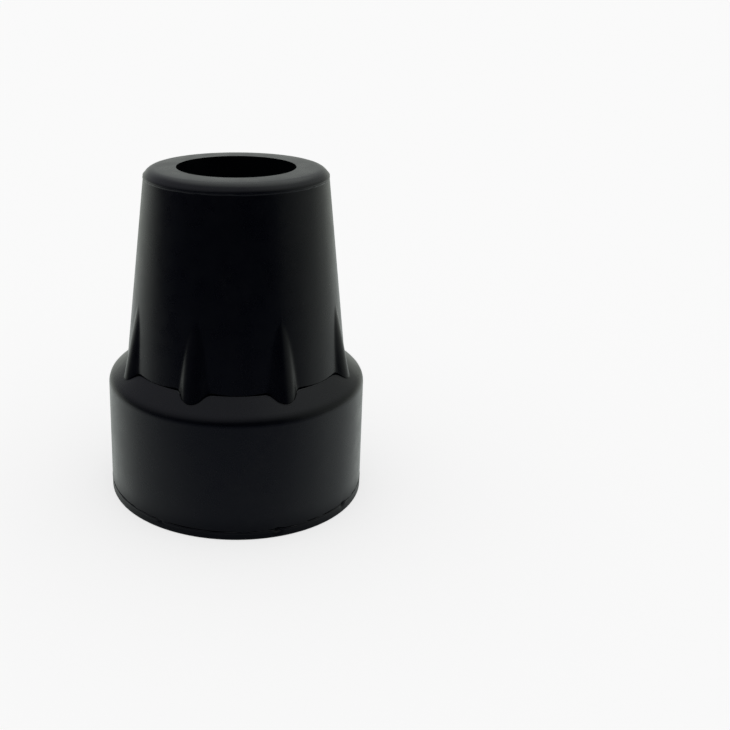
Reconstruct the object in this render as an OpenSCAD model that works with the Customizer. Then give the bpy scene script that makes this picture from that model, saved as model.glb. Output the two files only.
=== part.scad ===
// Rubber cane tip: one moulding with a wide round base, a ribbed tapered socket and a ringed tread.
// Origin: centre of the ground face. +Z runs up the socket's axis. Millimetres.

/* [Base] */
// Diameter of the base at the ground
base_d = 43.8; // [38:0.1:56]
// Height at which the base wall would meet the shoulder cone
base_h = 20.4; // [16:0.1:26]
// How much narrower the base wall is at its top, on the diameter
base_taper = 0.4; // [0:0.1:2]
// Radius that rounds the edge between the base wall and the shoulder
shoulder_round = 1.6; // [0.4:0.1:2.2]
// Radius that rounds the ground edge
ground_round = 0.25; // [0.1:0.05:0.6]

/* [Shoulder] */
// Width of the sloping ledge, from the base wall in to the shaft
shoulder_w = 3.25; // [2.4:0.05:5]
// Rise of the sloping ledge, from the base wall up to the shaft
shoulder_rise = 2.9; // [1:0.1:4]
// How far the flat that eases the corner between ledge and shaft reaches along each of them
shoulder_ease = 0.2; // [0.1:0.05:0.5]

/* [Shaft] */
// Overall height
tip_h = 55.4; // [48:0.1:75]
// Diameter of the shaft just under the lip
shaft_top_d = 29.8; // [26:0.1:36]

/* [Lip] */
// Diameter of the lip around the socket's mouth
lip_d = 30; // [26.2:0.1:37]
// Height of the lip, from the parting line up to the top face
lip_h = 1.3; // [0.8:0.1:2]
// Radius that rounds the lip into the top face
lip_round = 1.8; // [0.6:0.1:2.4]

/* [Socket] */
// Diameter of the socket that grips the stick
bore_d = 19; // [12:0.1:22.8]
// Depth of the socket
bore_depth = 40; // [30:0.1:41]
// Radius at the bottom of the socket's wall
bore_fillet = 1; // [0.4:0.1:2]

/* [Ribs] */
// Number of ribs around the foot of the shaft
rib_count = 8; // [4:1:12]
// Turn of the ribs, from standing evenly on both sides of the X and Y axes, in degrees
rib_turn = 1.1; // [-10:0.1:10]
// Width of a rib at the shoulder, where its flanks meet the shaft
rib_w = 6; // [5.6:0.1:7.6]
// How far a rib stands out from the shaft at the shoulder
rib_proud = 1.2; // [0.6:0.1:1.3]
// Radius of a rib's rounded back
rib_back = 3; // [1:0.1:3.2]
// Height above the shoulder at which a rib runs out into the shaft
rib_run = 11.2; // [7:0.1:16]
// Radius of the flare between a rib's flank and the shaft
rib_flare = 3; // [1:0.1:3.6]

/* [Parting lines] */
// Height of the lower parting line above the ground
parting_h = 1.35; // [1:0.05:3]
// How far the bead of flash stands out at both parting lines
flash = 0.2; // [0.1:0.05:0.3]

/* [Tread] */
// Width of the rim that stands on the ground
rim_w = 2.45; // [2:0.05:3.5]
// Radius that rounds the rim's inner edge
rim_round = 0.6; // [0.2:0.1:0.8]
// Width of the sloping band inside the rim
dish_w = 3.45; // [2.5:0.05:4.5]
// Height of the sloping band's inner edge above the ground
dish_h = 3.2; // [2:0.1:4]
// Diameter of the centre boss
boss_d = 7.8; // [5:0.1:10]
// Width of the middle ring
ring_w = 2; // [1.2:0.1:2.6]
// Height of the middle ring and the boss above the ground
tread_h = 3.4; // [2.6:0.1:4.4]
// Depth of the two grooves beyond the middle ring
groove_depth = 2.7; // [2:0.1:3.6]
// Draft of the grooves' walls, in degrees
groove_draft = 18; // [5:1:20]
// Draft of the boss, in degrees
boss_draft = 13; // [5:1:18]
// Radius at the outer foot of the inner groove
groove_fillet = 0.8; // [0.3:0.1:1]
// Height of the rounded ridge on the outer groove's floor
ridge_h = 1.4; // [0.8:0.1:1.8]
// Gap beside the rounded ridge, on each side of it
ridge_gap = 0.3; // [0.2:0.1:0.6]

/* [Hidden] */
$fn = 120;

rubber = "#17181a";
beyond = 1;            // how far cutting shapes reach past what they cut
lap = 0.3;             // how far ribs and ridges are sunk into the body they join
hair = 0.005;          // how far a rounding arc is drawn past its tangents, to cross the sides it rounds

base_r = base_d / 2;
base_top_r = base_r - base_taper / 2;
shaft_foot_r = base_top_r - shoulder_w;
shaft_top_r = shaft_top_d / 2;
shoulder_z = base_h + shoulder_rise;
lip_r = lip_d / 2;
lip_z = tip_h - lip_h;
lip_edge_r = lip_r - lip_round + sqrt(pow(lip_round, 2) - pow(max(lip_round - lip_h, 0), 2));
bore_r = bore_d / 2;
bore_z = tip_h - bore_depth;

// The rib's crest is a straight line that leaves the shaft at rib_top_z and stands out at the shoulder.
rib_top_z = shoulder_z + rib_run;
rib_tilt = atan((shaft_foot_r + rib_proud - shaft_r(rib_top_z)) / rib_run);
rib_length = rib_run / cos(rib_tilt);
rib_root = 2;          // how far a rib runs on below the shoulder line, inside the base
rib_end = 3;           // how far a rib runs on above its top, inside the shaft
flare_sink = 0.06;     // how far the edge of a rib's flare dips under the shaft's skin

// Tread radii, from the rim inwards. The middle ring stands midway between the boss and the dish.
dish_out_r = base_r - rim_w;
dish_in_r = dish_out_r - dish_w;
boss_r = boss_d / 2;
ring_mid_r = (boss_r + dish_in_r) / 2;
ring_out_r = ring_mid_r + ring_w / 2;
ring_in_r = ring_mid_r - ring_w / 2;
floor_z = tread_h + groove_depth;
wall_run = groove_depth * tan(groove_draft);
outer_floor_out_r = dish_in_r - (floor_z - dish_h) * tan(groove_draft);
outer_floor_in_r = ring_out_r + wall_run;
inner_floor_out_r = ring_in_r - wall_run;
inner_floor_in_r = boss_r + groove_depth * tan(boss_draft);
ridge_r = (outer_floor_out_r + outer_floor_in_r) / 2;
ridge_back_r = (outer_floor_out_r - outer_floor_in_r) / 2 - ridge_gap;

function shaft_r(z) = shaft_foot_r + (shaft_top_r - shaft_foot_r) * (z - shoulder_z) / (lip_z - shoulder_z);
function unit(v) = v / norm(v);

// Where an arc of radius r that rounds the corner at b touches the sides to a and to c, with its centre
// between the two points.
function corner_arc(a, b, c, r) =
    let (to_a = unit(a - b), to_c = unit(c - b), half_angle = acos(to_a * to_c) / 2)
    let (reach = r / tan(half_angle), to_centre = unit(to_a + to_c) * r / sin(half_angle))
    [b + to_a * reach, b + to_centre, b + to_c * reach];

// Sliver outside that arc, to be cut from an outer corner. An inner corner is filled instead by drawing
// its outline through the arc's centre and cutting the circle.
module corner_sliver(a, b, c, r) {
    arc = corner_arc(a, b, c, r);
    difference() {
        polygon([arc[0], b - unit(arc[1] - b) * r, arc[2], arc[1]]);
        translate(arc[1]) circle(r + hair);
    }
}

// Half section of the solid outside, from the ground to the top face.
module outside_section() {
    ground_corner = [base_r, 0];
    shoulder_corner = [base_top_r, base_h];
    shaft_corner = [shaft_foot_r, shoulder_z];
    under_lip = [shaft_top_r, lip_z];
    lip_corner = [lip_r, tip_h];
    ease = [for (to = [shoulder_corner, under_lip]) shaft_corner + unit(to - shaft_corner) * shoulder_ease];
    difference() {
        polygon([[0, 0], ground_corner, shoulder_corner, each ease, under_lip, [lip_r, lip_z], lip_corner,
                 [0, tip_h]]);
        corner_sliver([0, 0], ground_corner, shoulder_corner, ground_round);
        corner_sliver(ground_corner, shoulder_corner, shaft_corner, shoulder_round);
        corner_sliver([lip_r, 0], lip_corner, [0, tip_h], lip_round);
    }
    translate([base_r - base_taper / 2 * parting_h / base_h, parting_h]) circle(flash);
    translate([lip_edge_r, lip_z]) circle(flash);
}

// Half section of the socket.
module socket_section() {
    floor_corner = [bore_r, bore_z];
    difference() {
        translate([0, bore_z]) square([bore_r, bore_depth + beyond]);
        corner_sliver([0, bore_z], floor_corner, [bore_r, tip_h], bore_fillet);
    }
}

// Half section of the recess under the base: dish, outer groove, middle ring, inner groove and boss.
module tread_section() {
    rim_corner = [dish_out_r, 0];
    dish_corner = [dish_in_r, dish_h];
    ring_corner = [ring_in_r, tread_h];
    foot_corner = [inner_floor_out_r, floor_z];
    rim = corner_arc([base_r, 0], rim_corner, dish_corner, rim_round);
    difference() {
        polygon([each rim, dish_corner, [outer_floor_out_r, floor_z], [outer_floor_in_r, floor_z],
                 [ring_out_r, tread_h], ring_corner, foot_corner, [inner_floor_in_r, floor_z],
                 [boss_r, tread_h], [0, tread_h], [0, -beyond], [rim[0][0], -beyond]]);
        translate(rim[1]) circle(rim_round + hair);
        corner_sliver(ring_corner, foot_corner, [0, floor_z], groove_fillet);
        ridge_section();
    }
}

// Half section of the rounded ridge that stands on the outer groove's floor.
module ridge_section() {
    centre_z = floor_z - ridge_h + ridge_back_r;
    translate([ridge_r, centre_z]) circle(ridge_back_r);
    translate([ridge_r - ridge_back_r, centre_z])
        square([2 * ridge_back_r, max(floor_z - centre_z, 0) + lap]);
}

// Cross-section of a rib, with its crest at the origin and +Y outwards. Its flanks leave the round back
// at a tangent and flare out at the foot, until they dip under the shaft as it is at the shoulder.
module rib_section() {
    shaft_centre = [0, -rib_proud - shaft_foot_r];
    foot = shaft_centre + [rib_w / 2, sqrt(pow(shaft_foot_r - flare_sink, 2) - pow(rib_w / 2, 2))];
    to_back = [0, -rib_back] - foot;
    slope = asin(rib_back / norm(to_back)) - atan(to_back[1] / to_back[0]);
    apex = [0, foot[1] + foot[0] * tan(slope)];
    outwards = unit(foot - shaft_centre);
    flare = corner_arc(apex, foot, foot + [outwards[1], -outwards[0]], rib_flare);
    sunk = flare[2] - outwards * lap;
    right = [apex, flare[0], flare[1], sunk, sunk - [0, lap]];
    left = [for (i = [len(right) - 1 : -1 : 1]) [-right[i][0], right[i][1]]];
    difference() {
        polygon(concat(right, left));
        for (side = [-1, 1])
            translate([side * flare[1][0], flare[1][1]]) circle(rib_flare + hair);
        corner_sliver([-flare[0][0], flare[0][1]], apex, flare[0], rib_back);
    }
}

// One rib on the +X side, its crest sloping in from the shoulder to the shaft.
module rib() {
    translate([shaft_foot_r + rib_proud, 0, shoulder_z])
        rotate([0, -rib_tilt, 0])
            translate([0, 0, -rib_root])
                rotate([0, 0, -90])
                    linear_extrude(rib_root + rib_length + rib_end) rib_section();
}

// The socket and the tread are cut last, so that no rib reaches into them.
module cane_tip() {
    color(rubber)
        difference() {
            union() {
                rotate_extrude() outside_section();
                for (i = [0 : rib_count - 1])
                    rotate([0, 0, rib_turn + (i + 0.5) * 360 / rib_count]) rib();
            }
            rotate_extrude() socket_section();
            rotate_extrude() tread_section();
        }
}

cane_tip();
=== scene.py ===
import math

import bpy
import numpy as np
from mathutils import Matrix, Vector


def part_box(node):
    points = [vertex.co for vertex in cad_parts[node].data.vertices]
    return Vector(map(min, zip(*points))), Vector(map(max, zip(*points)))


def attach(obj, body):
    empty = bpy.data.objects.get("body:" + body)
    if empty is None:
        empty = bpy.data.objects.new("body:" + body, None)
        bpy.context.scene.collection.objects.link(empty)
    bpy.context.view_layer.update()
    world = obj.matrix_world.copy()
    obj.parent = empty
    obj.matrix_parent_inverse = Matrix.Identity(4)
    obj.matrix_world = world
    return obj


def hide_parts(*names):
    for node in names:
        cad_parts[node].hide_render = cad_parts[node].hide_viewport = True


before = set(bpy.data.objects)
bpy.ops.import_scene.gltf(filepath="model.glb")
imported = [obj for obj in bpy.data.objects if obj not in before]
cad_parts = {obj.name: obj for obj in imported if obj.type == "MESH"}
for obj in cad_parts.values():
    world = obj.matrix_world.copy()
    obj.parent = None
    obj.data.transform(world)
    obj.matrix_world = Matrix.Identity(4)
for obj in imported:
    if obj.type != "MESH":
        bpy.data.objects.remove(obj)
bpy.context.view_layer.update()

# Lengths are in millimetres, as in the CAD model, except where a comment says metres.
# Angles around the tip are measured as in the frame: the camera looks along +Y, so the front is at -90.
MM = 0.001
NODE = "cane_tip"

# ---- Camera: in front of the tip and above it, about a 50 mm lens, fitted to the photo's outline ----
CAMERA_BACK = 159.37
CAMERA_UP = 84.14
CAMERA_PITCH_DEG = 20.753
FOCAL_PX = 998.13
IMAGE_PX = 730
AXIS_PX = (236.19, 351.73)      # where the camera's own axis meets the picture
SENSOR_MM = 36
CLIP_NEAR, CLIP_FAR = 0.005, 50                 # metres

# ---- Outside ----
# Most sizes are the CAD model's. The shoulder's rounding, the lip's rounding and parting line, and the
# ribs follow the photo more closely than the CAD model does.
TIP_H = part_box(NODE)[1].z / MM
BASE_R = 21.9
BASE_TOP_R = 21.7
BASE_H = 20.4
SHOULDER_W, SHOULDER_RISE, SHOULDER_ROUND = 3.25, 2.9, 2.1
SHAFT_FOOT_R = BASE_TOP_R - SHOULDER_W
SHOULDER_Z = BASE_H + SHOULDER_RISE
SHAFT_TOP_R = 14.9
LIP_R, LIP_H, LIP_ROUND = 15.0, 1.45, 1.95
LIP_Z = TIP_H - LIP_H
BORE_R, BORE_DEPTH, BORE_FILLET = 9.5, 40, 1.0
BORE_Z = TIP_H - BORE_DEPTH
MOUTH_ROUND = 0.12              # edge between the lip's top and the socket
MIDDLE_R = 0.4                  # the innermost ring, around the axis
GROUND_ROUND = 0.25
WALL_START_Z = -1               # the base wall is drawn from just under the ground
PLAIN_WALL_Z = 18               # up to here the wall is the base's alone
CREASE_EASE = 0.12              # how far the crease at the shaft's foot is filled
CREASE_LOW_Z, CREASE_HIGH_Z = 21.0, 31.0        # rings between these are moved to run along it
CREASE_PASSES = 12
SLOT_ROWS = (0.02, 0.04, 0.06)  # rings of the narrow slot that runs along this crease
SLOT_WIDTH = 0.10
RIB_SLOT_WIDTH = 0.30           # how much wider the slot is beside the ribs
RIB_SIDE_DEG = 8.0
SLOT_FADE_DEG = (8.0, 3.5)      # how fast it narrows away from a rib, and around the rib's foot
SLOT_DEPTH = 1.5                # against its width

# ---- Ribs ----
RIB_COUNT = 8
RIB_TURN_DEG = 1.1
RIB_BACK_R = 2.55
RIB_FLARE_R = 0.45              # between flank and shaft, away from the foot
RIB_FOOT_FLARE = 4.0            # how much wider the flare is at the rib's foot
RIB_FOOT_Z = 22.2
RIB_FLARE_RISE = 3.2            # height over which the flare narrows again
RIB_SOFT = 0.06                 # how softly a crest runs out into the shaft
RIB_SINK = 0.001                # taken off, so that nothing of a rib is left far above it
RIB_PROUD = 1.2
RIB_RUN = 10.6
RIB_PERIOD = 2 * math.pi / RIB_COUNT
RIB_FIRST = -math.pi / 2 + RIB_PERIOD / 2 + math.radians(RIB_TURN_DEG)

# ---- Beads of flash ----
PARTING_Z = 1.35
PARTING_BEAD = (0.16, 0.06)     # half height, how far it stands out
LIP_BEAD = (0.12, 0.05)
BELOW_BEAD = (0.16, 0.03)                   # how far the rings lie under a bead
BEAD_RINGS = (-1, -0.92, -0.7, -0.35, 0, 0.35, 0.7, 0.92, 1)       # across it, against its half height
ABOVE_BEAD = (0.02, 0.10, 0.19, 0.32)       # and over it
GROOVE_DEPTH = 0.22
PARTING_RAISE, PARTING_DIP, PARTING_WANDER = 0.05, 0.2, 0.035
PARTING_REACH = 1.1             # how far above and below it the wall follows this
PARTING_HOLD = 1.6              # the share of that in which it follows in full is 1 - 1 / PARTING_HOLD
LIP_DIP, LIP_WANDER = 0.07, 0.04
LIP_REACH = 0.35

# Nicks torn in the lower one: angle from the front, half angle, half height, depth. The third stands
# for a darker spot in the photo that may not be a nick.
NICKS = [(17.8, 1.2, 0.34, 0.85), (53.8, 0.9, 0.40, 0.45), (-34.0, 1.0, 0.20, 0.25)]
UNEVEN = 0.006                  # how far the moulded walls wander from round
UNEVEN_FADE = 3                 # height over which this starts, from the ground and from the lip

# ---- Half section of the tread, from the axis to the ground edge: radius, height, rounding ----
TREAD = [
    (MIDDLE_R, 3.40, 0), (3.90, 3.40, 0.35),                        # boss
    (4.52, 6.10, 0.30), (8.07, 6.10, 0.80),                         # inner groove
    (8.95, 3.40, 0.35), (10.95, 3.40, 0.35),                        # middle ring
    (11.83, 6.10, 0.15), (12.13, 6.10, 0),                          # outer groove
    (12.13, 4.70, 1.25), (14.75, 4.70, 1.25), (14.75, 6.10, 0),     # rounded ridge on its floor
    (15.06, 6.10, 0.15), (16.00, 3.20, 0.12),                       # sloping band
    (19.45, 0.00, 0.60), (BASE_R - GROUND_ROUND, 0.00, 0),          # rim
]

COLUMNS = 352
TREAD_STEP = 0.9
SOCKET_STEP = 2.5
WALL_STEP = 0.2
ARC_STEP_DEG = 11
SAME_POINT = 1e-6
LIP_GAP = 0.02                  # least height between the outside's last ring and the lip's first
SHARP_DEG = 50
WAVE_SIZES = (0.6, 1.4)


def make_camera():
    data = bpy.data.cameras.new("camera")
    data.sensor_width = SENSOR_MM
    data.lens = FOCAL_PX / IMAGE_PX * SENSOR_MM
    data.shift_x = (IMAGE_PX / 2 - AXIS_PX[0]) / IMAGE_PX
    data.shift_y = (AXIS_PX[1] - IMAGE_PX / 2) / IMAGE_PX
    data.clip_start = CLIP_NEAR
    data.clip_end = CLIP_FAR
    camera = bpy.data.objects.new("camera", data)
    bpy.context.scene.collection.objects.link(camera)
    camera.location = (0, -CAMERA_BACK * MM, CAMERA_UP * MM)
    camera.rotation_euler = (math.radians(90 - CAMERA_PITCH_DEG), 0, 0)
    bpy.context.scene.camera = camera


# ---- Paths in the half section ----

def unit(vector):
    return vector / np.linalg.norm(vector)


def rounded_path(corners, step):
    """Points along straight runs between corners (r, z, rounding), each corner rounded by its own radius."""
    points = [np.array(corners[0][:2], float)]
    for before, here, after in zip(corners, corners[1:], corners[2:]):
        corner = np.array(here[:2], float)
        back = unit(np.array(before[:2]) - corner)
        on = unit(np.array(after[:2]) - corner)
        radius = here[2]
        if radius <= 0:
            points.append(corner)
            continue
        half = math.acos(float(np.clip(back @ on, -1, 1))) / 2
        centre = corner + unit(back + on) * radius / math.sin(half)
        start = corner + back * radius / math.tan(half) - centre
        turn = math.copysign(math.pi - 2 * half, start[0] * on[1] - start[1] * on[0])
        count = max(3, round(abs(math.degrees(turn)) / ARC_STEP_DEG))
        for angle in np.linspace(0, turn, count + 1):
            c, s = math.cos(angle), math.sin(angle)
            points.append(centre + (c * start[0] - s * start[1], s * start[0] + c * start[1]))
    points.append(np.array(corners[-1][:2], float))
    path = [points[0]]
    for a, b in zip(points, points[1:]):
        length = np.linalg.norm(b - a)
        if length < SAME_POINT:
            continue
        pieces = max(1, math.ceil(length / step))
        for i in range(1, pieces + 1):
            path.append(a + (b - a) * i / pieces)
    return np.array(path)


def radius_at(path, z):
    """Radius of a path that climbs all the way, at heights z."""
    return np.interp(z, path[:, 1], path[:, 0])


def smooth_max(a, b, width):
    """The larger of a and b, with the corner between them filled over this width."""
    blend = np.maximum(width - np.abs(a - b), 0) / width
    return np.maximum(a, b) + blend * blend * width / 4


def ripple(theta, orders, seed):
    """An uneven wave around the tip, mostly between -1 and 1, from waves of these numbers per turn."""
    rng = np.random.default_rng(seed)
    total = np.zeros_like(theta)
    for order in orders:
        total = total + np.sin(order * theta + rng.uniform(0, 2 * math.pi)) * rng.uniform(*WAVE_SIZES)
    return total / math.sqrt(len(orders)) / WAVE_SIZES[1]


def lumpy(theta, orders, seed, usual, swing, low, high):
    """A factor that swings about its usual value around the tip, kept between low and high."""
    return np.clip(usual + swing * ripple(theta, orders, seed), low, high)


# ---- Shaft and ribs ----

def shaft_r(z):
    return SHAFT_FOOT_R + (SHAFT_TOP_R - SHAFT_FOOT_R) * (z - SHOULDER_Z) / (LIP_Z - SHOULDER_Z)


def rib_height(z):
    """How far a rib's crest stands out from the shaft, softened where it runs out."""
    top_r = shaft_r(SHOULDER_Z + RIB_RUN)
    foot_r = SHAFT_FOOT_R + RIB_PROUD
    proud = foot_r + (top_r - foot_r) * (z - SHOULDER_Z) / RIB_RUN - shaft_r(z)
    return 0.5 * (proud + np.sqrt(proud ** 2 + RIB_SOFT ** 2)) - RIB_SINK


def from_rib(theta):
    """Angle to the middle of the nearest rib."""
    return np.abs((theta - RIB_FIRST + RIB_PERIOD / 2) % RIB_PERIOD - RIB_PERIOD / 2)


def ribbed_shaft(theta, z):
    """Radius of the shaft with its ribs: each section is a round back and two flares, all at a tangent."""
    aside = from_rib(theta)
    plain = shaft_r(z)
    near_foot = np.clip(1 - (z - RIB_FOOT_Z) / RIB_FLARE_RISE, 0, 1)
    flare_r = RIB_FLARE_R + RIB_FOOT_FLARE * near_foot ** 2
    back_at = plain + rib_height(z) - RIB_BACK_R
    to_flare = plain + flare_r
    between = RIB_BACK_R + flare_r
    flare_x = (back_at ** 2 + to_flare ** 2 - between ** 2) / (2 * back_at)
    flare_y = np.sqrt(np.maximum(to_flare ** 2 - flare_x ** 2, 0))
    flare_angle = np.arctan2(flare_y, flare_x)
    share = RIB_BACK_R / between
    back_angle = np.arctan2(flare_y * share, back_at + (flare_x - back_at) * share)
    on_back = back_at * np.cos(aside) + np.sqrt(
        np.maximum(RIB_BACK_R ** 2 - (back_at * np.sin(aside)) ** 2, 0))
    beyond = aside - flare_angle
    on_flare = to_flare * np.cos(beyond) - np.sqrt(
        np.maximum(flare_r ** 2 - (to_flare * np.sin(beyond)) ** 2, 0))
    return np.where(aside < back_angle, on_back, np.where(aside < flare_angle, on_flare, plain))


# ---- Outside ----

def bead_offsets(half):
    """Heights of the rings across a bead of flash and close beside it, from its middle."""
    across = np.array(BEAD_RINGS) * half
    return np.concatenate([-half - np.array(BELOW_BEAD), across, half + np.array(ABOVE_BEAD)])


def outside_heights():
    """Heights of the rings on the outside, from the ground edge to just above the lip's parting line."""
    crease = np.array([-0.7, -0.45, -0.28, -0.16, -0.07, 0, *SLOT_ROWS, 0.13, 0.22, 0.34, 0.5, 0.7])
    rows = [
        GROUND_ROUND * (1 - np.cos(np.linspace(0, math.pi / 2, 6))),
        np.array([0.6, 0.9]),
        PARTING_Z + bead_offsets(PARTING_BEAD[0]),
        np.array([1.9, 2.6, 3.6]),
        np.arange(5, PLAIN_WALL_Z, 1.5),
        np.arange(18.4, 21.3, 0.16),            # the shoulder's rounding
        np.arange(21.5, 22.5, 0.25),            # its ledge
        SHOULDER_Z + crease,
        np.arange(24.3, 34, 0.5),               # the ribs
        np.arange(34.0, 36.5, 0.3),             # where they have run out
        np.arange(37, LIP_Z - 0.8, 1.6),        # the plain shaft
        LIP_Z + bead_offsets(LIP_BEAD[0])[:-1],
    ]
    return np.concatenate(rows)


def column_angles(z):
    """Angles of the columns at heights z, crowded towards the ribs where these are."""
    even = np.arange(COLUMNS) * 2 * math.pi / COLUMNS
    low_z, high_z = 4, 44           # they are even below and above these
    rise, fall = 12, 7
    strongest = 0.6
    crowd = strongest * np.clip(np.minimum((z - low_z) / rise, (high_z - z) / fall), 0, 1)
    return even - crowd[:, None] / RIB_COUNT * np.sin(RIB_COUNT * (even - RIB_FIRST))


def slot_width(theta):
    """Width of the slot in the crease at the shaft's foot: it opens towards the ribs and their feet."""
    beside = np.degrees(from_rib(theta)) - RIB_SIDE_DEG
    return SLOT_WIDTH + RIB_SLOT_WIDTH * np.exp(-(beside / np.where(beside > 0, *SLOT_FADE_DEG)) ** 2)


def slot_share(z):
    """How far a ring lies across the slot: 0 at the crease, 1 at the slot's last ring."""
    return np.clip((z - SHOULDER_Z) / SLOT_ROWS[-1], 0, 1)


def to_crease(theta, z):
    """Heights moved so that the ring at the shoulder's top runs along the crease around shaft and ribs."""
    crease = np.full_like(z, SHOULDER_Z)
    slope = SHOULDER_RISE / SHOULDER_W
    for _ in range(CREASE_PASSES):
        crease = SHOULDER_Z - slope * (ribbed_shaft(theta, crease) - SHAFT_FOOT_R)
    below = np.clip((z - CREASE_LOW_Z) / (SHOULDER_Z - CREASE_LOW_Z), 0, 1)
    above = np.clip((CREASE_HIGH_Z - z) / (CREASE_HIGH_Z - SHOULDER_Z), 0, 1)
    opened = (slot_width(theta) - SLOT_ROWS[-1]) * slot_share(z)
    return z + (crease - SHOULDER_Z) * below * above + opened * above


def bead(z, middle, size):
    half, proud = size
    return proud * np.sqrt(np.maximum(1 - ((z - middle) / half) ** 2, 0))


def groove(z, middle, size):
    """The line left just above a bead, where the mould's halves meet."""
    near = 1 - np.abs(z - middle - size[0] - ABOVE_BEAD[1]) / ABOVE_BEAD[1]
    return GROOVE_DEPTH * np.clip(near, 0, 1)


def spot(theta, z, at_deg, height, half_deg, half_height):
    """A soft spot of strength 1, around this angle from the front and this height."""
    turn = np.degrees(theta) + 90
    turn = (turn + 180) % 360 - 180
    far = ((turn - at_deg) / half_deg) ** 2 + ((z - height) / half_height) ** 2
    return np.exp(-far)


def lower_parting_line(theta, nominal):
    """What it adds to radius and height: flash, a groove and nicks, and a dip at the front and the back."""
    flash = bead(nominal, PARTING_Z, PARTING_BEAD)
    flash = flash * lumpy(theta, range(9, 60, 4), seed=3, usual=0.75, swing=0.5, low=0.1, high=1.3)
    broken = lumpy(theta, range(7, 50, 3), seed=8, usual=0.8, swing=1.2, low=0, high=1.5)
    flash = flash - groove(nominal, PARTING_Z, PARTING_BEAD) * broken
    for at_deg, half_deg, half_height, depth in NICKS:
        nick = spot(theta, nominal, at_deg, PARTING_Z, half_deg, half_height)
        flash = flash * (1 - nick) - depth * nick
    from_front = theta + math.pi / 2
    sway = PARTING_RAISE - PARTING_DIP * np.cos(2 * from_front)
    sway = sway + PARTING_WANDER * ripple(theta, range(3, 24, 3), 4)
    near = np.clip(1 - np.abs(nominal - PARTING_Z) / PARTING_REACH, 0, 1)
    return flash, sway * np.minimum(1, near * PARTING_HOLD)


def lip_parting_line(theta, nominal):
    """What it adds to radius and height: flash, and a dip at the front."""
    flash = bead(nominal, LIP_Z, LIP_BEAD)
    flash = flash * lumpy(theta, range(10, 70, 5), seed=5, usual=0.6, swing=0.6, low=0, high=1.4)
    from_front = theta + math.pi / 2
    sway = LIP_WANDER * ripple(theta, range(4, 28, 3), 6) - LIP_DIP * (1 + np.cos(from_front))
    return flash, sway * np.clip(1 - np.abs(nominal - LIP_Z) / LIP_REACH, 0, 1)


def outside_grid():
    """Radius, height and angle of every point on the outside, from the ground to the lip's parting line."""
    wall = rounded_path([
        (BASE_R, WALL_START_Z, 0), (BASE_TOP_R, BASE_H, SHOULDER_ROUND), (SHAFT_FOOT_R, SHOULDER_Z, 0),
        (SHAFT_FOOT_R - 2 * SHOULDER_W, SHOULDER_Z + 2 * SHOULDER_RISE, 0)], WALL_STEP)
    heights = outside_heights()
    theta = column_angles(heights)
    nominal = np.repeat(heights[:, None], COLUMNS, 1)
    z = to_crease(theta, nominal)
    ground = np.clip(1 - z / GROUND_ROUND, 0, 1)
    base = radius_at(wall, z) - GROUND_ROUND * (1 - np.sqrt(1 - ground ** 2))
    r = np.where(nominal < PLAIN_WALL_Z, base, smooth_max(ribbed_shaft(theta, z), base, CREASE_EASE))
    in_slot = slot_share(nominal)
    r = r - SLOT_DEPTH * slot_width(theta) * 4 * in_slot * (1 - in_slot)
    away = np.clip(z / UNEVEN_FADE, 0, 1) * np.clip((LIP_Z - z) / UNEVEN_FADE, 0, 1)
    r = r + UNEVEN * ripple(theta, range(3, 30, 2), 2) * away
    edge = LIP_R - LIP_ROUND + math.sqrt(LIP_ROUND ** 2 - (LIP_ROUND - LIP_H) ** 2)
    r = np.where(nominal > LIP_Z, edge, r)
    for parting_line in (lower_parting_line, lip_parting_line):
        flash, sway = parting_line(theta, nominal)
        r = r + flash
        z = z + sway
    return r, z, theta


def plain_grid(path):
    even = np.arange(COLUMNS) * 2 * math.pi / COLUMNS
    radius = np.repeat(path[:, :1], COLUMNS, 1)
    return radius, np.repeat(path[:, 1:], COLUMNS, 1), np.repeat(even[None, :], len(path), 0)


def grid_to_mesh(name, radius, height, theta):
    """A closed mesh from rings of columns, with its first and last ring closed on the axis."""
    rings, columns = radius.shape
    x, y = radius * np.cos(theta), radius * np.sin(theta)
    points = np.stack([x, y, height], axis=-1).reshape(-1, 3)
    ends = np.array([[0, 0, height[0].mean()], [0, 0, height[-1].mean()]])
    points = np.concatenate([points, ends]) * MM
    ring = np.arange(rings - 1)[:, None] * columns
    here, right = np.arange(columns), (np.arange(columns) + 1) % columns
    quads = np.stack([ring + here, ring + right, ring + columns + right, ring + columns + here], axis=-1)
    first, last = rings * columns, rings * columns + 1
    base = (rings - 1) * columns
    fans = [(first, j, i) for i, j in zip(here.tolist(), right.tolist())]
    fans += [(last, base + i, base + j) for i, j in zip(here.tolist(), right.tolist())]
    mesh = bpy.data.meshes.new(name)
    mesh.from_pydata(points.tolist(), [], quads.reshape(-1, 4).tolist() + fans)
    mesh.validate()
    mesh.update()
    return mesh


def build_tip():
    lip = rounded_path([
        (LIP_R, 0, 0), (LIP_R, TIP_H, LIP_ROUND), (BORE_R, TIP_H, MOUTH_ROUND),
        (BORE_R, BORE_Z, BORE_FILLET), (MIDDLE_R, BORE_Z, 0)], SOCKET_STEP)
    outside = outside_grid()
    lip = lip[np.argmax(lip[:, 1] > outside[1][-1].max() + LIP_GAP):]
    grids = [plain_grid(rounded_path(TREAD, TREAD_STEP)), outside, plain_grid(lip)]
    radius, height, theta = (np.concatenate(part) for part in zip(*grids))
    mesh = grid_to_mesh("rubber_tip", radius, height, theta)
    mesh.shade_smooth()
    mesh.set_sharp_from_angle(angle=math.radians(SHARP_DEG))
    return mesh


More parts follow.
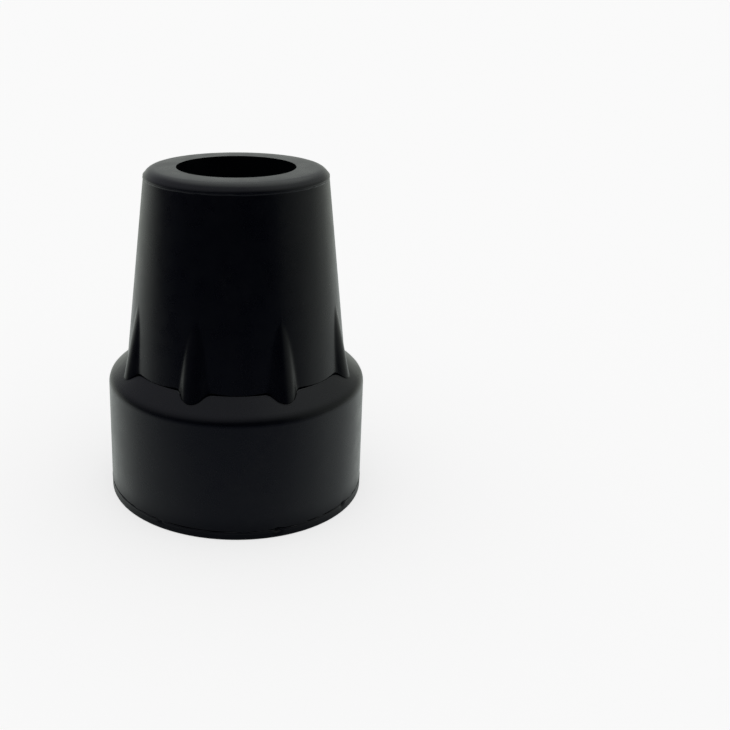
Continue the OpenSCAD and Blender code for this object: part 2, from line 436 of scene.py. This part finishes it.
# ---- Material ----
# A band of height or radius is its low end, its high end and the width of the soft edge outside them.
# A fade is where something is full and where it is gone.
GROOVE_FLOOR_Z, GROOVE_FLOOR_R = (5.9, 6.3, 0.15), (4.7, 7.0, 0.4)
RIDGE_Z, RIDGE_R = (4.5, 5.4, 0.3), (12.4, 14.5, 0.2)
SCUFFED_R = (16.2, 19.3, 0.3)
SCUFFED_FADE_Z = (3.2, 3.6)
BOSS_FADE_R, BOSS_FADE_Z = (3.3, 3.7), (3.6, 4.2)
WORN_FADE_Z = (0.8, 4.5)
TURNING_WAVE = 16.0             # radians of wave to a millimetre of radius
SCUFF_STRETCH = (0.25, 1.6, 1.0)
RUBBER_COLOUR = (0.0002, 0.0006, 0.0026, 1)
DUST_COLOUR = (0.0030, 0.0032, 0.0045, 1)
CLOUD_DUST, SPECK_DUST = 0.5, 0.35
ROUGHNESS, MOTTLE = 0.28, (-0.02, 0.03)
GRAINY_ROUGHNESS, WORN_ROUGHNESS, SCUFF_ROUGHNESS = 0.2, 0.12, 0.2
GRAIN_RISE, PEEL_RISE, COARSE_RISE = 0.0020, 0.005, 0.25
SPECK_RISE, TURNED_RISE, SCUFF_RISE = 0.008, 0.004, -0.03


def add_node(tree, kind, inputs=None, **settings):
    """A new node with these settings, each input either linked from a socket or set to a value."""
    made = tree.nodes.new(kind)
    for name, value in settings.items():
        setattr(made, name, value)
    for place, value in (inputs or {}).items():
        if isinstance(value, bpy.types.NodeSocket):
            tree.links.new(value, made.inputs[place])
        else:
            made.inputs[place].default_value = value
    return made


def calc(tree, operation, a, b):
    return add_node(tree, "ShaderNodeMath", {0: a, 1: b}, operation=operation).outputs[0]


def times(tree, a, b):
    return calc(tree, "MULTIPLY", a, b)


def plus(tree, *values):
    """The sum of these values, added from the left."""
    total = values[0]
    for value in values[1:]:
        total = calc(tree, "ADD", total, value)
    return total


def stretched(tree, where, by):
    return add_node(tree, "ShaderNodeVectorMath", {0: where, 1: by}, operation="MULTIPLY").outputs[0]


def noise(tree, where, scale, detail=2.0):
    made = add_node(tree, "ShaderNodeTexNoise", {"Vector": where, "Scale": scale, "Detail": detail})
    return made.outputs["Fac"]


def ramp(tree, value, low, high, to_low=0.0, to_high=1.0):
    """A value eased from to_low, where it is low, to to_high, where it is high."""
    inputs = {"Value": value, "From Min": low, "From Max": high, "To Min": to_low, "To Max": to_high}
    return add_node(tree, "ShaderNodeMapRange", inputs, interpolation_type="SMOOTHSTEP").outputs["Result"]


def band(tree, value, low, high, edge):
    """1 between low and high, falling to 0 over this edge outside them."""
    rise = ramp(tree, value, low - edge, low)
    return times(tree, rise, fade(tree, value, high, high + edge))


def fade(tree, value, full, gone):
    """1 up to full, falling to 0 at gone."""
    return ramp(tree, value, full, gone, 1.0, 0.0)


def rubber_material():
    material = bpy.data.materials.new("rubber")
    material.use_nodes = True
    tree = material.node_tree
    bsdf = tree.nodes["Principled BSDF"]
    metres = tree.nodes.new("ShaderNodeTexCoord").outputs["Object"]
    where = add_node(tree, "ShaderNodeVectorMath", {0: metres, "Scale": 1 / MM}, operation="SCALE").outputs[0]
    z = add_node(tree, "ShaderNodeSeparateXYZ", {0: where}).outputs["Z"]
    flat = stretched(tree, where, (1, 1, 0))
    radius = add_node(tree, "ShaderNodeVectorMath", {0: flat}, operation="LENGTH").outputs["Value"]

    # The floors of the grooves and the ridge between them came out of the mould grainy.
    floor = times(tree, band(tree, z, *GROOVE_FLOOR_Z), band(tree, radius, *GROOVE_FLOOR_R))
    ridge = times(tree, band(tree, z, *RIDGE_Z), band(tree, radius, *RIDGE_R))
    grainy = calc(tree, "MAXIMUM", floor, ridge)
    worn = fade(tree, z, *WORN_FADE_Z)

    # The boss keeps faint turning marks from the mould, and the sloping band has been scuffed.
    boss = times(tree, fade(tree, radius, *BOSS_FADE_R), fade(tree, z, *BOSS_FADE_Z))
    turned = times(tree, calc(tree, "SINE", times(tree, radius, TURNING_WAVE), 0.0), boss)
    sloping = times(tree, band(tree, radius, *SCUFFED_R), fade(tree, z, *SCUFFED_FADE_Z))
    streaks = noise(tree, stretched(tree, where, SCUFF_STRETCH), scale=0.9, detail=3.0)
    scuffs = times(tree, ramp(tree, streaks, 0.6, 0.68), sloping)

    # Dust and bloom lie in soft clouds.
    clouds = ramp(tree, noise(tree, where, scale=0.11, detail=3.0), 0.42, 0.72)
    specks = ramp(tree, noise(tree, where, scale=2.2, detail=1.0), 0.72, 0.80)
    patchy = ramp(tree, noise(tree, where, scale=0.9, detail=4.0), 0.35, 0.75)
    dust = times(tree, times(tree, clouds, patchy), CLOUD_DUST)
    dust = plus(tree, dust, times(tree, specks, SPECK_DUST))
    inputs = {0: dust, 6: RUBBER_COLOUR, 7: DUST_COLOUR}
    colour = add_node(tree, "ShaderNodeMix", inputs, data_type="RGBA")
    tree.links.new(colour.outputs[2], bsdf.inputs["Base Color"])

    mottle = ramp(tree, noise(tree, where, scale=0.35, detail=4.0), 0.3, 0.7, *MOTTLE)
    rough = plus(
        tree, times(tree, grainy, GRAINY_ROUGHNESS), mottle, times(tree, worn, WORN_ROUGHNESS),
        times(tree, scuffs, SCUFF_ROUGHNESS), ROUGHNESS)
    tree.links.new(rough, bsdf.inputs["Roughness"])

    grain = noise(tree, where, scale=4.0)
    peel = noise(tree, where, scale=0.8)
    coarse = times(tree, noise(tree, where, scale=1.8, detail=3.0), grainy)
    height = plus(
        tree, times(tree, grain, GRAIN_RISE), times(tree, peel, PEEL_RISE), times(tree, coarse, COARSE_RISE),
        times(tree, specks, SPECK_RISE), times(tree, turned, TURNED_RISE), times(tree, scuffs, SCUFF_RISE))
    inputs = {"Height": times(tree, height, MM), "Strength": 1.0, "Distance": 1.0}
    bump = add_node(tree, "ShaderNodeBump", inputs)
    tree.links.new(bump.outputs["Normal"], bsdf.inputs["Normal"])
    return material


# ---- Light ----

# What shines in the surfaces, as soft patches of light: azimuth from the front and elevation of each
# patch's middle, the half angles at which it is full and gone, its strength against the plain white, and
# its colour. The numbers are from a least-squares fit to the photo's brightness, but the first two
# strengths and the colours were set one by one. The names only say where a patch lies.
GREENISH = (0.98, 1.04, 0.96)
BLUISH = (0.98, 1.0, 1.12)
BLUE = (0.90, 0.97, 1.18)
PATCHES = {
    "behind, low": (191, -30, 1, 74, 0.445, GREENISH),
    "behind, high": (170, 62, 17, 39, 0.50, GREENISH),
    "right": (107, 24, 1, 72, 0.245, GREENISH),
    "above": (230, 73, 1, 91, 0.306, BLUISH),
    "below": (-40, -90, 75, 80, 0.112, BLUE),
    "below, behind": (178, -68, 72, 84, 0.215, GREENISH),
}
WORLD_FILL = 0.35               # the even light that matt surfaces get
FLOOR_GLOW = 0.64
FLOOR_COLOUR = (0.9, 0.9, 0.9, 1)
FLOOR_SIZE = 8                  # metres
SHADE_IN, SHADE_OUT, SHADE_DEPTH = 18.0, 25.4, 0.70
SHADE_AT = (0, -3.5)            # it falls a little to the front


def direction(azimuth_deg, elevation_deg):
    a, e = math.radians(azimuth_deg), math.radians(elevation_deg)
    return (math.sin(a) * math.cos(e), -math.cos(a) * math.cos(e), math.sin(e))


def patch_of_light(tree, toward, azimuth, elevation, full, gone, strength, colour):
    inputs = {0: toward, 1: direction(azimuth, elevation)}
    facing = add_node(tree, "ShaderNodeVectorMath", inputs, operation="DOT_PRODUCT").outputs["Value"]
    share = ramp(tree, facing, math.cos(math.radians(gone)), math.cos(math.radians(full)), 0.0, strength)
    return add_node(tree, "ShaderNodeVectorMath", {0: colour, "Scale": share}, operation="SCALE").outputs[0]


def make_world():
    """Soft patches of light seen in reflections, an even fill, and plain white behind the object."""
    world = bpy.data.worlds.new("studio")
    bpy.context.scene.world = world
    world.use_nodes = True
    tree = world.node_tree
    toward = tree.nodes.new("ShaderNodeTexCoord").outputs["Generated"]
    total = (0, 0, 0)
    for patch in PATCHES.values():
        inputs = {0: patch_of_light(tree, toward, *patch), 1: total}
        total = add_node(tree, "ShaderNodeVectorMath", inputs, operation="ADD").outputs[0]
    path = tree.nodes.new("ShaderNodeLightPath").outputs
    fill = add_node(tree, "ShaderNodeMix", {0: path["Is Camera Ray"], 2: WORLD_FILL, 3: 1.0}).outputs[0]
    shine = add_node(tree, "ShaderNodeMix", {0: path["Is Glossy Ray"], 6: fill, 7: total}, data_type="RGBA")
    tree.links.new(shine.outputs[2], tree.nodes["Background"].inputs["Color"])


def make_contact_shade():
    """What the wall reflects of the floor beside it: the floor lies in the object's own shade there."""
    bpy.ops.mesh.primitive_circle_add(vertices=128, radius=SHADE_OUT * MM, fill_type="NGON")
    shade = bpy.context.object
    shade.location = (SHADE_AT[0] * MM, SHADE_AT[1] * MM, 0)
    shade.name = "contact_shade"
    material = bpy.data.materials.new("contact_shade")
    material.use_nodes = True
    tree = material.node_tree
    place = tree.nodes.new("ShaderNodeTexCoord").outputs["Object"]
    radius = add_node(tree, "ShaderNodeVectorMath", {0: place}, operation="LENGTH").outputs["Value"]
    dark = ramp(tree, radius, SHADE_IN * MM, SHADE_OUT * MM, SHADE_DEPTH, 0.0)
    clear = tree.nodes.new("ShaderNodeBsdfTransparent").outputs["BSDF"]
    black = add_node(tree, "ShaderNodeEmission", {"Strength": 0.0}).outputs["Emission"]
    mixed = add_node(tree, "ShaderNodeMixShader", {0: dark, 1: clear, 2: black}).outputs["Shader"]
    tree.links.new(mixed, tree.nodes["Material Output"].inputs["Surface"])
    shade.data.materials.append(material)
    shade.visible_camera = False
    shade.visible_diffuse = False
    shade.visible_shadow = False


def make_floor():
    bpy.ops.mesh.primitive_plane_add(size=FLOOR_SIZE, location=(0, 0, 0))
    floor = bpy.context.object
    floor.name = "floor"
    material = bpy.data.materials.new("floor")
    material.use_nodes = True
    bsdf = material.node_tree.nodes["Principled BSDF"]
    bsdf.inputs["Base Color"].default_value = FLOOR_COLOUR
    bsdf.inputs["Roughness"].default_value = 1.0
    bsdf.inputs["Specular IOR Level"].default_value = 0.0
    bsdf.inputs["Emission Color"].default_value = (1, 1, 1, 1)
    bsdf.inputs["Emission Strength"].default_value = FLOOR_GLOW
    floor.data.materials.append(material)
    floor.visible_glossy = False


make_camera()
make_world()
make_floor()
make_contact_shade()
bpy.context.scene.view_settings.view_transform = "Standard"

mesh = build_tip()
mesh.materials.append(rubber_material())
tip = bpy.data.objects.new("rubber_tip", mesh)
bpy.context.scene.collection.objects.link(tip)
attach(tip, "root")
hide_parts(NODE)
